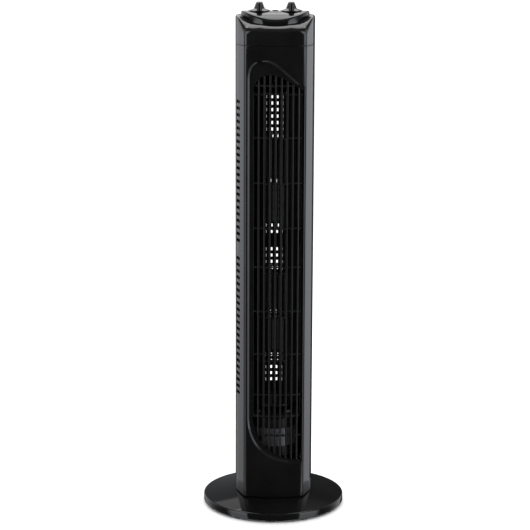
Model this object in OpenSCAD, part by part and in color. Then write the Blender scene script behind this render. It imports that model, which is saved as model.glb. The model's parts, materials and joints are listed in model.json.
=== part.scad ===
// Tower fan: a weighted round base, an oscillating tower with a crossflow rotor, and a head with two knobs.
// Millimetres. +Z is up, the front faces -Y, and the origin is on the floor under the middle of the base.

/* [Base] */
// Diameter of the round base
base_d = 220; // [210:1:230]
// Height of the rim's upper edge above the floor
rim_h = 14; // [13:0.5:14.5]
// Height of the flat land that carries the tower
land_h = 21; // [20.5:0.5:21]
// Number of rubber feet under the rim
foot_count = 12; // [6:1:12]

/* [Tower] */
// Width of the tower
tower_w = 120; // [119:1:122]
// Thickness of the tower's walls
wall = 2.5; // [2:0.1:2.8]
// Height of the tower's lower edge
tower_z0 = 22.5; // [22.3:0.1:23]
// Height of the seam between the housing and the head
seam_z = 720.5; // [715:0.5:722]
// Height of the head's shoulders
shoulder_z = 764; // [763:0.5:765]
// Height of the crest of the domed control plate
dome_z = 770; // [769.5:0.5:770.5]

/* [Grille] */
// Left edge of the air outlet
outlet_left = -33.5; // [-35:0.5:-32]
// Right edge of the air outlet
outlet_right = 43.3; // [42:0.1:43.5]
// Distance between neighbouring upright bars
bar_pitch = 8.55; // [8:0.05:9]
// Width of an upright bar
bar_w = 2.6; // [2:0.1:3]
// Width of a cross bar
cross_bar_w = 2.2; // [1.8:0.1:2.6]

/* [Vents] */
// Distance between neighbouring vent slots
vent_pitch = 10.1; // [9.5:0.1:10.2]
// Height of one vent slot
vent_h = 5; // [4:0.5:5.5]

/* [Rotor] */
// Outer radius of the rotor
rotor_r = 38; // [36:0.5:38]
// Blades in one rotor segment
blade_count = 24; // [16:1:28]
// Thickness of a blade
blade_t = 1.1; // [0.8:0.1:1.4]

/* [Controls] */
// Distance of each knob from the middle of the head
knob_x = 24; // [23.5:0.5:24.5]
// Diameter of a knob's skirt
skirt_d = 34; // [32:0.5:34]
// Height of a knob's top above the floor
knob_top = 783.5; // [781:0.5:786]

/* [Hidden] */

$fn = 64;
big = 400;            // longer than anything that a cutting shape has to pass through across the tower
fit = 0.05;           // radial clearance of a turning fit
gap = 0.3;            // clearance between parts that move past each other

// Base: radii and heights
base_r = base_d / 2;
rim_round = 2.5;
foot_h = 3.5;
foot_r = 8;
foot_ring_r = 99;
foot_turn = -3;       // the ring of feet starts this many degrees off the front
land_r = 56;
base_skin = 2.5;
core_hole_r = 9;      // the post is hollow, and the base is open below it
ballast_z = 7;
ballast_t = 4;
ballast_screw_ring = 62;

// Pivot: the post is fixed to the base, and the tower's floor turns on it
post_r = 20;
post_flange_r = 33;
post_screw_ring = 27;
washer_z = land_h + 2;
floor_z = washer_z + 1;
floor_t = 3;
sleeve_r = 26;
sleeve_top = floor_z + 8;
yoke_z = sleeve_top + gap;
yoke_t = 2;
yoke_screw_ring = 14.5;

// Oscillation: the crank's centre stands behind the post, and its throw gives a swing of 30 degrees each way
crank_y = 27;
crank_throw = crank_y * sin(30);
crank_r = 17.5;
pin_r = 2.5;
pin_z = yoke_z + yoke_t + 0.6;
crank_z = pin_z + 2.1;
crank_t = 3;
osc_motor_z = crank_z + crank_t + 4;
osc_motor_r = 23;
osc_motor_h = 18;
osc_ear_x = 28;
osc_boss_r = 3.5;

// Outline of the tower seen from above: bulged front, straight facets at the corners, round back
half_w = tower_w / 2;
front_y = 57;         // distance of the front's middle from the tower's axis
corner_x = half_w - 14;
corner_y = 48;
side_y = 12;
bulge = front_y - corner_y;
front_r = (corner_x * corner_x + bulge * bulge) / (2 * bulge);
front_cy = front_r - front_y;
rear_r = 66.5;
rear_cy = -12;
rear_y = rear_cy + rear_r;
facet_len = norm([half_w - corner_x, corner_y - side_y]);
facet_nx = (corner_y - side_y) / facet_len;
facet_ny = (half_w - corner_x) / facet_len;
split_y = -side_y;    // the front and rear covers meet here

// Air outlet: control heights of its wavy top and of its sweeping bottom
outlet_top = 678.7;
outlet_top_left = 650;
outlet_top_right = 654.5;
outlet_bottom = 81;
outlet_bottom_left = 160;
crest_x = -7;
recess_margin = 7;
recess_depth = 3;
thick_x = corner_x - 2;   // the panel is thicker inside behind the recess
thick_z = [66, 708];
grille_back = 7.5;    // distance of the grille's back from the outer surface
first_bar_x = -32.85;
bar_count = 9;
cross_bar_z = [121.5, 186.5, 251, 318.5, 387, 447, 515.5, 584, 649];

// Vents: two fields of slots with a solid band between them
vent_count = 22;
vent_z = [181.5, 421.5];
vent_from = 60;       // the slots in the rear cover start at this angle, measured from +X
vent_to = 150;        // and end here, so that no slot looks straight through to one in the front cover
vent_rib_angles = [78, 102, 126];
side_vent_y = [-31, -15];

// Screw wells of the rear cover
well_x = 50;
well_z = [40, 408, 700];
well_r = 4.5;

// Wiring: the loom runs up one corner, and the gland stands between the two motors at the back
loom_xy = [-43, -27];
loom_r = 2.2;
gland_z = 74;
gland_r = 6;
gland_bore_r = 3.6;

// Air duct
duct_z0 = 153;
duct_z1 = 660;
duct_plate_t = 3;
scroll_r = 42.5;
scroll_t = 2;

// Rotor
segment_count = 7;
segment_h = 69;
rotor_z = 166;
rotor_top = rotor_z + segment_count * segment_h;
blade_inner_r = 29.5;
blade_outer_r = rotor_r - 0.3;
blade_sweep = 7;      // degrees by which a blade leans forward from root to tip
rotor_rest = 11.25;   // the rotor stands with its lowest blades turned this far from +X
blade_stagger = [0, 0.25, 0.75];   // turn of each segment in a group of three, in blade pitches
ring_inner_r = 27.5;
ring_t = 1.6;
shaft_r = 4;

// Motor
motor_z = 84;
bell_h = 16;
bell_r = 37;
bell_wall = 3;
bell_floor = 4;
stator_z = motor_z + bell_h;
stator_h = 28;
stator_r = 38;
core_r = 22;
winding_r = [24, 33];
mount_xy = 24;
rubber_z = stator_z + stator_h + bell_h;

// Head
collar_slope = 0.524;   // the shoulders fall towards the front by this ratio
collar_crest_y = -16;
head_skin = 3;
plate_r = 51.5;
plate_cy = 9.5;
plate_back = 30;
plate_z0 = 745;
dome_r = 73.5;
plate_skin = 3.5;
seat_z = dome_z - 1.8;
skirt_r = skirt_d / 2;
skirt_z = seat_z + gap;
skirt_t = 3.5;
hub_r = [8.2, 5];
grip_w = 8.6;
grip_top_drop = 0.8;
spindle_r = 3;
spindle_top = knob_top - 5;
switch_top = 762;
neck_r = 5;
neck_top = 766;
button_r = 4.7;
button_top = dome_z + 1;
button_foot = 759;
osc_switch_top = 758;

black = [0.03, 0.03, 0.035];
satin_black = [0.08, 0.08, 0.085];
steel = [0.6, 0.6, 0.62];
zinc = [0.7, 0.7, 0.68];
copper = [0.72, 0.4, 0.2];

// ---------- helpers ----------

// Points of a cubic curve with control points p, without its last point
function curve_point(p, t) =
    p[0] * pow(1 - t, 3) + p[1] * 3 * t * pow(1 - t, 2) + p[2] * 3 * t * t * (1 - t) + p[3] * pow(t, 3);
function curve(p, n) = [for (i = [0 : n - 1]) curve_point(p, i / n)];

// Points of an arc from angle a to angle b
function arc(r, a, b, n) = [for (i = [0 : n]) r * [cos(a + (b - a) * i / n), sin(a + (b - a) * i / n)]];

// Where the corner facet lies, moved inwards by inset
function facet_x(y, inset) = corner_x + (facet_ny * (y + corner_y) - inset) / facet_nx;
function facet_y(x, inset) = -corner_y + (facet_nx * (x - corner_x) + inset) / facet_ny;

// Outline of the air outlet in the front view, grown by g. The first point is the lower end of the left side.
function outlet_points(g) = concat(
    curve([[outlet_left - g, outlet_top_left], [outlet_left - g, outlet_top_left + 18 + g],
           [-20, outlet_top + g], [crest_x, outlet_top + g]], 8),
    curve([[crest_x, outlet_top + g], [5, outlet_top + g], [22, 668 + g],
           [outlet_right + min(g, 0.6), outlet_top_right + g]], 8),
    [[outlet_right + min(g, 0.6), outlet_top_right + g]],
    curve([[outlet_right + min(g, 0.6), outlet_bottom - g], [-10, outlet_bottom - g],
           [outlet_left - g, 118 - g], [outlet_left - g, outlet_bottom_left]], 12),
    [[outlet_left - g, outlet_bottom_left]]);

// Outline of the shallow recess around the outlet: its top is a rounder, higher wave
function recess_points() = concat(
    curve([[outlet_left - recess_margin, 672], [outlet_left - recess_margin, 695],
           [-28, 699.5], [-15, 699.5]], 8),
    curve([[-15, 699.5], [5, 699.5], [22, 672], [outlet_right, 660]], 8),
    [[outlet_right, 660]],
    curve([[outlet_right, outlet_bottom - 2], [-14, outlet_bottom - 5],
           [outlet_left - recess_margin, 108], [outlet_left - recess_margin, 150]], 12),
    [[outlet_left - recess_margin, 150]]);

// Extrudes a flat shape upwards from z0 to z1
module slab(z0, z1) {
    translate([0, 0, z0]) linear_extrude(z1 - z0) children();
}

// Extrudes a front view, drawn in X and Z, from y0 back to y1
module through(y0, y1) {
    translate([0, y1, 0]) rotate([90, 0, 0]) linear_extrude(y1 - y0) children();
}

// A round rod along Z
module rod(r, z0, z1) {
    translate([0, 0, z0]) cylinder(r = r, h = z1 - z0);
}

// A round rod along Y
module rod_y(r, y0, y1) {
    translate([0, y0, 0]) rotate([-90, 0, 0]) cylinder(r = r, h = y1 - y0);
}

// A ring around Z
module ring(r_out, r_in, z0, z1) {
    difference() {
        rod(r_out, z0, z1);
        rod(r_in, z0 - 1, z1 + 1);
    }
}

// Repeats its children on a circle around Z
module around(count, r, start = 0) {
    for (i = [0 : count - 1]) rotate(start + i * 360 / count) translate([r, 0, 0]) children();
}

// The tower's outline, moved inwards by inset
module plan(inset) {
    side = half_w - inset;
    far = 70;
    intersection() {
        translate([0, front_cy]) circle(r = front_r - inset, $fn = 180);
        translate([0, rear_cy]) circle(r = rear_r - inset, $fn = 180);
        polygon([[side, far], [side, facet_y(side, inset)], [facet_x(-far, inset), -far],
                 [-facet_x(-far, inset), -far], [-side, facet_y(side, inset)], [-side, far]]);
    }
}

// The wall between two insets of the outline
module plan_wall(outer, inner) {
    difference() {
        plan(outer);
        plan(inner);
    }
}

// Everything in front of the line where the covers meet
module front_half() {
    translate([-big / 2, split_y - big]) square([big, big]);
}

// Everything behind it, leaving a hairline joint
module rear_half() {
    translate([-big / 2, split_y + gap]) square([big, big]);
}

// A plate that fills the tower, with a little room to the walls
module deck(z0, z1) {
    slab(z0, z1) plan(wall + gap);
}

// The same plate, stepped back behind the thick front panel and the grille
module duct_deck(z0, z1) {
    half = thick_x + 0.5;
    difference() {
        deck(z0, z1);
        slab(z0 - 1, z1 + 1) difference() {
            translate([-half, -big]) square([2 * half, big - 30]);
            plan(grille_back + gap);
        }
    }
}

// ---------- base ----------

// Height of the base's sloping top at radius r
function cone_z(r) = land_h - (r - land_r) * (land_h - rim_h) / (base_r - rim_round - land_r);

module base_disc() {
    rim_x = base_r - rim_round;
    color(black) difference() {
        union() {
            rotate_extrude($fn = 180) polygon(concat(
                [[base_r, foot_h]],
                [for (p = arc(rim_round, 0, 75, 4)) p + [rim_x, rim_h - rim_round]],
                [[land_r, land_h], [core_hole_r, land_h], [core_hole_r, land_h - base_skin],
                 [land_r, land_h - base_skin], [rim_x, rim_h - base_skin], [rim_x, foot_h]]));
            around(foot_count, foot_ring_r, foot_turn - 90)
                rod(foot_r + 0.5, foot_h, cone_z(foot_ring_r + foot_r) - 1);
            around(3, ballast_screw_ring, 30)
                rod(5, ballast_z + ballast_t, cone_z(ballast_screw_ring + 5) - 1);
        }
        around(4, post_screw_ring, 45) rod(1.7, 0, land_h + 1);
        around(3, ballast_screw_ring, 30) rod(1.5, ballast_z, ballast_z + ballast_t + 5);
    }
}

module base_ballast() {
    color(steel) difference() {
        ring(88, 36, ballast_z, ballast_z + ballast_t);
        around(3, ballast_screw_ring, 30) rod(2, 0, land_h);
    }
}

module ballast_screws() {
    color(zinc) around(3, ballast_screw_ring, 30) {
        rod(3.5, ballast_z - 2, ballast_z);
        rod(1.5, ballast_z - 1, ballast_z + ballast_t + 4.5);
    }
}

module base_feet() {
    color(satin_black) around(foot_count, foot_ring_r, foot_turn - 90) {
        rod(foot_r - 0.8, 0, foot_h);
        rod(foot_r, 0.8, foot_h);
    }
}

module pivot_post() {
    color(satin_black) difference() {
        union() {
            rod(post_flange_r, land_h, washer_z);
            rod(post_r, land_h, yoke_z);
        }
        rod(core_hole_r, land_h - 1, yoke_z + 1);
        around(4, post_screw_ring, 45) rod(1.7, land_h - 1, washer_z + 1);
        around(3, yoke_screw_ring, 30) rod(1.3, yoke_z - 7, yoke_z + 1);
    }
}

module post_screws() {
    under = land_h - base_skin;
    color(zinc) around(4, post_screw_ring, 45) {
        rod(3.5, under - 2, under);
        rod(1.7, under - 1, washer_z - 0.2);
    }
}

module thrust_washer() {
    color([0.9, 0.9, 0.86]) ring(post_flange_r, post_r + gap, washer_z, floor_z - 0.02);
}

module yoke_plate() {
    arm_w = 13;
    arm_end = crank_y + crank_throw + 6.5;
    slot_w = 2 * pin_r + 0.4;
    color(zinc) difference() {
        union() {
            rod(sleeve_r, yoke_z, yoke_z + yoke_t);
            translate([-arm_w / 2, 0, yoke_z]) cube([arm_w, arm_end, yoke_t]);
        }
        rod(core_hole_r, yoke_z - 1, yoke_z + yoke_t + 1);
        translate([-slot_w / 2, crank_y - crank_throw - slot_w / 2, yoke_z - 1])
            cube([slot_w, 2 * crank_throw + slot_w, yoke_t + 2]);
        around(3, yoke_screw_ring, 30) {
            rod(1.5, yoke_z - 1, yoke_z + yoke_t + 1);
            rod(2.9, yoke_z + 0.5, yoke_z + yoke_t + 1);
        }
    }
}

module yoke_screws() {
    color(steel) around(3, yoke_screw_ring, 30) {
        rod(2.8, yoke_z + 0.5, yoke_z + yoke_t);
        rod(1.3, yoke_z - 6.5, yoke_z + 1);
    }
}

// ---------- tower: floor and oscillation drive ----------

module tower_floor() {
    color(satin_black) difference() {
        union() {
            deck(floor_z, floor_z + floor_t);
            rod(sleeve_r, floor_z, sleeve_top);
            for (s = [-1, 1]) translate([s * osc_ear_x, crank_y, 0]) rod(osc_boss_r, floor_z, osc_motor_z);
        }
        rod(post_r + fit, floor_z - 1, sleeve_top + 1);
        for (s = [-1, 1]) translate([s * osc_ear_x, crank_y, 0]) rod(1.3, osc_motor_z - 9, osc_motor_z + 1);
    }
}

module osc_motor() {
    ear_t = 1.2;
    ear_w = 9;
    color(zinc) translate([0, crank_y, 0]) difference() {
        union() {
            rod(osc_motor_r, osc_motor_z, osc_motor_z + osc_motor_h);
            translate([-osc_ear_x - ear_w / 2, -ear_w / 2, osc_motor_z])
                cube([2 * osc_ear_x + ear_w, ear_w, ear_t]);
        }
        rod(3.5 + fit, osc_motor_z - 1, osc_motor_z + 5);
        for (s = [-1, 1]) translate([s * osc_ear_x, 0, 0]) rod(1.5, osc_motor_z - 1, osc_motor_z + ear_t + 1);
    }
}

module osc_motor_screws() {
    ear_t = 1.2;
    color(steel) for (s = [-1, 1]) translate([s * osc_ear_x, crank_y, 0]) {
        rod(2.8, osc_motor_z + ear_t, osc_motor_z + ear_t + 2);
        rod(1.3, osc_motor_z - 8, osc_motor_z + ear_t + 1);
    }
}

// ---------- tower: housing ----------

module well_positions() {
    for (z = well_z, s = [-1, 1]) translate([s * well_x, 0, z]) children();
}

module side_vents() {
    for (z0 = vent_z, i = [0 : vent_count - 1])
        translate([-half_w - 2, side_vent_y[0], z0 + i * vent_pitch])
            cube([13, side_vent_y[1] - side_vent_y[0], vent_h]);
}

module front_cover() {
    color(black) difference() {
        union() {
            slab(tower_z0, seam_z - 0.2) intersection() {
                plan_wall(0, wall);
                front_half();
            }
            intersection() {
                slab(tower_z0, seam_z - 0.2) plan_wall(0, recess_depth + wall);
                through(-70, -40) translate([-thick_x, thick_z[0]])
                    square([2 * thick_x, thick_z[1] - thick_z[0]]);
            }
            intersection() {
                slab(tower_z0, seam_z - 0.2) intersection() {
                    plan(1);
                    front_half();
                }
                well_positions() rod_y(4, -33, split_y);
            }
        }
        difference() {
            through(-70, -30) polygon(recess_points());
            slab(tower_z0 - 1, seam_z + 1) plan(recess_depth);
        }
        through(-70, -30) polygon(outlet_points(0));
        side_vents();
        well_positions() rod_y(1.6, -23, split_y + 1);
    }
}

module front_grille() {
    bar_face = 4;
    frame_face = recess_depth + wall + 0.1;
    color(black) difference() {
        intersection() {
            slab(outlet_bottom - 8, outlet_top + 8) plan_wall(bar_face, grille_back);
            through(-70, -30) polygon(outlet_points(3));
            union() {
                for (i = [0 : bar_count - 1]) translate([first_bar_x + i * bar_pitch - bar_w / 2, -60, 0])
                    cube([bar_w, 30, seam_z]);
                for (z = cross_bar_z) translate([-60, -60, z - cross_bar_w / 2]) cube([120, 30, cross_bar_w]);
                difference() {
                    through(-70, -30) polygon(outlet_points(4));
                    through(-71, -29) polygon(outlet_points(-1.2));
                }
            }
        }
        difference() {
            slab(outlet_bottom - 9, outlet_top + 9) plan_wall(0, frame_face);
            through(-70, -30) polygon(outlet_points(-gap));
        }
    }
}

// The wedge of directions in which the rear vents are open
module vent_wedge() {
    reach = 90;
    polygon(concat([[0, 0]], arc(reach, vent_from, vent_to, 6)));
}

module rear_cover() {
    rib_t = 2;
    rib_reach = 3.5;
    color(black) difference() {
        union() {
            difference() {
                slab(tower_z0, seam_z - 0.2) intersection() {
                    plan_wall(0, wall);
                    rear_half();
                }
                for (z0 = vent_z, i = [0 : vent_count - 1])
                    slab(z0 + i * vent_pitch, z0 + i * vent_pitch + vent_h) vent_wedge();
            }
            slab(vent_z[0] - 5, vent_z[1] + vent_count * vent_pitch) intersection() {
                plan_wall(wall - 0.5, wall + rib_reach);
                union() {
                    for (a = vent_rib_angles) rotate(a) translate([0, -rib_t / 2]) square([90, rib_t]);
                }
            }
            intersection() {
                slab(tower_z0, seam_z - 0.2) plan(1);
                well_positions() rod_y(well_r, split_y + gap, 60);
            }
        }
        well_positions() {
            rod_y(2.9, split_y + 7, 70);
            rod_y(1.7, split_y - 1, split_y + 8);
        }
        translate([0, 0, gland_z]) rod_y(gland_r, rear_y - 10, rear_y + 10);
    }
}

module cover_screws() {
    head_y = split_y + 7;
    color(zinc) well_positions() {
        rod_y(2.7, head_y, head_y + 2.5);
        rod_y(1.6, head_y - 17, head_y + 1);
    }
}

// ---------- tower: head ----------

// Everything below the collar's surface, moved down by drop
module collar_block(drop) {
    front = -80;
    translate([0, 0, -drop]) rotate([90, 0, 90]) translate([0, 0, -big / 2]) linear_extrude(big)
        polygon([[front, 600], [front, shoulder_z + (front - collar_crest_y) * collar_slope],
                 [collar_crest_y, shoulder_z], [80, shoulder_z], [80, 600]]);
}

// Outline of the control plate, grown by g
module plate_plan(g) {
    intersection() {
        translate([0, plate_cy]) circle(r = plate_r + g, $fn = 120);
        translate([-big / 2, -big]) square([big, big + plate_back + g]);
    }
}

// Everything below the domed surface, moved inwards by inset
module dome(inset) {
    translate([-big / 2, 0, dome_z - dome_r]) rotate([0, 90, 0]) cylinder(r = dome_r - inset, h = big, $fn = 180);
}

module head_shell() {
    color(black) difference() {
        intersection() {
            slab(seam_z + 0.3, shoulder_z + 5) plan(0);
            collar_block(0);
        }
        intersection() {
            slab(seam_z - 1, shoulder_z + 5) plan(wall);
            collar_block(head_skin);
        }
        slab(plate_z0 - 20, shoulder_z + 20) plate_plan(0.2);
    }
}

module control_plate() {
    color(black) difference() {
        intersection() {
            slab(plate_z0, dome_z + 5) plate_plan(0);
            dome(0);
        }
        intersection() {
            slab(plate_z0 - 1, dome_z + 5) plate_plan(-2);
            dome(plate_skin);
        }
        for (s = [-1, 1]) translate([s * knob_x, 0, 0]) {
            rod(skirt_r + 0.6, seat_z, dome_z + 5);
            rod(spindle_r + 1, plate_z0, dome_z + 5);
        }
        rod(button_r + 0.4, plate_z0, dome_z + 5);
    }
}

// A boxed rotary control with a round neck and a bore for its spindle
module rotary_body(width, depth, z0) {
    difference() {
        union() {
            translate([-width / 2, -depth / 2, z0]) cube([width, depth, switch_top - z0]);
            rod(neck_r, switch_top - 1, neck_top);
        }
        rod(spindle_r + fit, z0 + 2, neck_top + 1);
    }
}

module speed_switch() {
    color([0.75, 0.72, 0.62]) translate([knob_x, 0, 0]) rotary_body(30, 26, 746);
}

module timer_body() {
    color(zinc) translate([-knob_x, 0, 0]) rotary_body(34, 30, 742);
}

module osc_switch() {
    color([0.75, 0.72, 0.62]) difference() {
        translate([-6, -10, 743]) cube([12, 20, osc_switch_top - 743]);
        rod(2.4, osc_switch_top - 5, osc_switch_top + 1);
    }
}

// ---------- tower: air duct ----------

module scroll_wall() {
    start = -15;
    stop = 70;
    lip = [39.5, -37.5];
    color(satin_black) slab(duct_z0, duct_z1) polygon(concat(
        [lip], arc(scroll_r, start, stop, 14), arc(scroll_r + scroll_t, stop, start, 14),
        [lip + [scroll_t, 0]]));
}

module vortex_wall() {
    tip = [-40.5, -16];
    foot = [-35.5, -43.2];
    half_t = 1;
    color(satin_black) slab(duct_z0, duct_z1) union() {
        translate(tip) circle(r = 1.8);
        polygon([tip - [half_t, 0], tip + [half_t, 0], foot + [half_t, 0], foot - [half_t, 0]]);
    }
}

module upper_bearing_plate() {
    color(satin_black) difference() {
        duct_deck(duct_z1, duct_z1 + duct_plate_t);
        rod(12, duct_z1 - 1, duct_z1 + duct_plate_t + 1);
        translate(loom_xy) rod(loom_r + 1, duct_z1 - 1, duct_z1 + duct_plate_t + 1);
    }
}

module upper_bearing_rubber() {
    color([0.12, 0.12, 0.12]) union() {
        ring(12, 8, duct_z1 - 2, duct_z1 + duct_plate_t + 2);
        ring(14, 8, duct_z1 - 2, duct_z1);
    }
}

module upper_bush() {
    color([0.72, 0.53, 0.28]) ring(8, shaft_r + fit, duct_z1 - 2, duct_z1 + duct_plate_t + 2);
}

module motor_bracket() {
    color(satin_black) difference() {
        duct_deck(duct_z0 - duct_plate_t, duct_z0);
        rod(9, duct_z0 - 10, duct_z0 + 1);
        motor_mounts() rod(2.2, duct_z0 - 10, duct_z0 + 1);
        translate(loom_xy) rod(loom_r + 1, duct_z0 - 10, duct_z0 + 1);
    }
}

// ---------- tower: fan motor ----------

module motor_mounts() {
    for (x = [-mount_xy, mount_xy], y = [-mount_xy, mount_xy]) translate([x, y, 0]) children();
}

module motor_rubbers() {
    color([0.12, 0.12, 0.12]) motor_mounts() ring(5, 2.2, rubber_z, duct_z0 - duct_plate_t);
}

module motor_bell_upper() {
    z0 = stator_z + stator_h;
    color(zinc) difference() {
        rod(bell_r, z0, z0 + bell_h);
        rod(bell_r - bell_wall, z0 - 1, z0 + bell_h - bell_floor);
        rod(shaft_r + fit, z0, z0 + bell_h + 1);
        motor_mounts() rod(2, z0, z0 + bell_h + 1);
    }
}

module motor_stator() {
    color([0.42, 0.42, 0.44]) ring(stator_r, core_r + 0.4, stator_z, stator_z + stator_h);
}

module motor_windings() {
    color(copper) {
        ring(winding_r[1], winding_r[0], stator_z - 8, stator_z);
        ring(winding_r[1], winding_r[0], stator_z + stator_h, stator_z + stator_h + 8);
    }
}

module motor_bell_lower() {
    color(zinc) difference() {
        rod(bell_r, motor_z, stator_z);
        rod(bell_r - bell_wall, motor_z + bell_floor, stator_z + 1);
        rod(shaft_r + fit, motor_z - 1, stator_z);
    }
}

module motor_screws() {
    color(steel) motor_mounts() {
        rod(4, duct_z0, duct_z0 + 2);
        rod(2, rubber_z - bell_floor - 1, duct_z0 + 1);
    }
}

module motor_capacitor() {
    color([0.2, 0.22, 0.26]) translate([-55, -11, 92]) cube([14, 26, 34]);
}

module terminal_block() {
    color([0.85, 0.85, 0.8]) difference() {
        translate([42, -11, 62]) cube([13, 24, 12]);
        for (y = [-7, 1, 9]) translate([48.5, y, 64]) rod(2, 4, 20);
    }
}

module wire_loom() {
    color(satin_black) translate(loom_xy) rod(loom_r, 60, 738);
}

module cord_gland() {
    color([0.12, 0.12, 0.12]) translate([0, 0, gland_z]) difference() {
        union() {
            rod_y(gland_r, rear_y - 8, rear_y + 2.5);
            rod_y(gland_r + 2.5, rear_y, rear_y + 2.5);
        }
        rod_y(gland_bore_r, rear_y - 9, rear_y + 4);
    }
}

// ---------- crank ----------

module crank_disc() {
    color([0.9, 0.9, 0.86]) translate([0, crank_y, 0]) difference() {
        union() {
            rod(crank_r, crank_z, crank_z + crank_t);
            rod(3.5, crank_z, osc_motor_z + 4.5);
        }
        translate([0, crank_throw, 0]) rod(pin_r, crank_z - 1, crank_z + 2);
    }
}

module crank_pin() {
    color(steel) translate([0, crank_y + crank_throw, 0]) rod(pin_r, pin_z, crank_z + 2);
}

// ---------- rotor ----------

// One blade's outline: its middle line leans forward as it runs outwards
function blade_angle(t) = blade_sweep * t * t;
function blade_side(side) = [for (i = [0 : 4])
    let (t = i / 4, r = blade_inner_r + (blade_outer_r - blade_inner_r) * t,
         a = blade_angle(t) + side * blade_t / 2 / r * 180 / PI)
    r * [cos(a), sin(a)]];

module blade() {
    outer = blade_side(1);
    inner = blade_side(-1);
    polygon(concat(inner, [for (i = [4 : -1 : 0]) outer[i]]));
}

// Neighbouring segments are staggered, so that their blades don't line up
module rotor_segment(index) {
    z = rotor_z + index * segment_h;
    turn = rotor_rest + blade_stagger[index % 3] * 360 / blade_count;
    color([0.13, 0.13, 0.14]) union() {
        ring(rotor_r, ring_inner_r, z, z + ring_t);
        rotate(turn) slab(z + ring_t / 2, z + segment_h)
            for (i = [0 : blade_count - 1]) rotate(i * 360 / blade_count) blade();
    }
}

module rotor_segment_1() { rotor_segment(0); }
module rotor_segment_2() { rotor_segment(1); }
module rotor_segment_3() { rotor_segment(2); }
module rotor_segment_4() { rotor_segment(3); }
module rotor_segment_5() { rotor_segment(4); }
module rotor_segment_6() { rotor_segment(5); }
module rotor_segment_7() { rotor_segment(6); }

module rotor_bottom_cap() {
    color([0.13, 0.13, 0.14]) difference() {
        union() {
            rod(rotor_r, rotor_z - 2, rotor_z);
            rod(11, rotor_z - 9, rotor_z);
        }
        rod(shaft_r, rotor_z - 10, rotor_z - 1);
    }
}

module rotor_top_cap() {
    color([0.13, 0.13, 0.14]) difference() {
        union() {
            rod(rotor_r, rotor_top, rotor_top + 2);
            rod(9, rotor_top, rotor_top + 6);
        }
        rod(shaft_r, rotor_top + 1, rotor_top + 7);
    }
}

module rotor_stub() {
    color(steel) rod(shaft_r, rotor_top + 1, duct_z1 + duct_plate_t + 4);
}

module motor_shaft() {
    color(steel) rod(shaft_r, motor_z - 2, rotor_z - 1);
}

module motor_core() {
    color([0.5, 0.5, 0.52]) ring(core_r, shaft_r, stator_z + 0.5, stator_z + stator_h - 0.5);
}

// ---------- controls ----------

// A knob with a thin skirt, a tapering hub and a grip across its whole width
module knob() {
    grip_l = skirt_d - 2;
    hub_top = knob_top - 1.4;
    grip_round = grip_w / 2;
    color(black) difference() {
        union() {
            rod(skirt_r - 0.7, skirt_z, skirt_z + skirt_t);
            rod(skirt_r, skirt_z, skirt_z + skirt_t - 0.7);
            rotate_extrude() polygon([[0, skirt_z + 1], [hub_r[0], skirt_z + 1], [hub_r[0], skirt_z + skirt_t],
                                      [hub_r[1], hub_top], [hub_r[1] - 1.4, knob_top], [0, knob_top]]);
            slab(skirt_z + 1, knob_top - grip_top_drop) union() {
                translate([-grip_w / 2, -grip_l / 2 + grip_round])
                    square([grip_w, grip_l - 2 * grip_round]);
                for (s = [-1, 1]) translate([0, s * (grip_l / 2 - grip_round)]) circle(r = grip_round);
            }
        }
        rod(spindle_r, skirt_z - 1, spindle_top);
    }
}

module spindle(z0) {
    color([0.72, 0.53, 0.28]) rod(spindle_r, z0 + 2.2, spindle_top);
}

module speed_knob() {
    translate([knob_x, 0, 0]) knob();
}

module speed_spindle() {
    translate([knob_x, 0, 0]) spindle(746);
}

module timer_knob() {
    translate([-knob_x, 0, 0]) knob();
}

module timer_spindle() {
    translate([-knob_x, 0, 0]) spindle(742);
}

module osc_button() {
    color(black) union() {
        rod(button_r, dome_z - 6, button_top);
        rod(2, button_foot, dome_z - 5);
    }
}

base_disc();
base_ballast();
ballast_screws();
base_feet();
pivot_post();
post_screws();
thrust_washer();
yoke_plate();
yoke_screws();
tower_floor();
osc_motor();
osc_motor_screws();
front_cover();
front_grille();
rear_cover();
cover_screws();
head_shell();
control_plate();
scroll_wall();
vortex_wall();
upper_bearing_plate();
upper_bearing_rubber();
upper_bush();
motor_bracket();
motor_rubbers();
motor_bell_upper();
motor_stator();
motor_windings();
motor_bell_lower();
motor_screws();
motor_capacitor();
speed_switch();
timer_body();
osc_switch();
terminal_block();
wire_loom();
cord_gland();
crank_disc();
crank_pin();
rotor_segment_1();
rotor_segment_2();
rotor_segment_3();
rotor_segment_4();
rotor_segment_5();
rotor_segment_6();
rotor_segment_7();
rotor_bottom_cap();
rotor_top_cap();
rotor_stub();
motor_shaft();
motor_core();
speed_knob();
speed_spindle();
timer_knob();
timer_spindle();
osc_button();
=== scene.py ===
"""Looks of a slim tower fan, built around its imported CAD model.

The origin is on the floor under the middle of the base, +Z is up and the front faces -Y.
Lengths in this file are millimetres; MM turns them into Blender's metres.
"""

import json
import math

import bmesh
import bpy
from mathutils import Matrix, Vector


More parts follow.
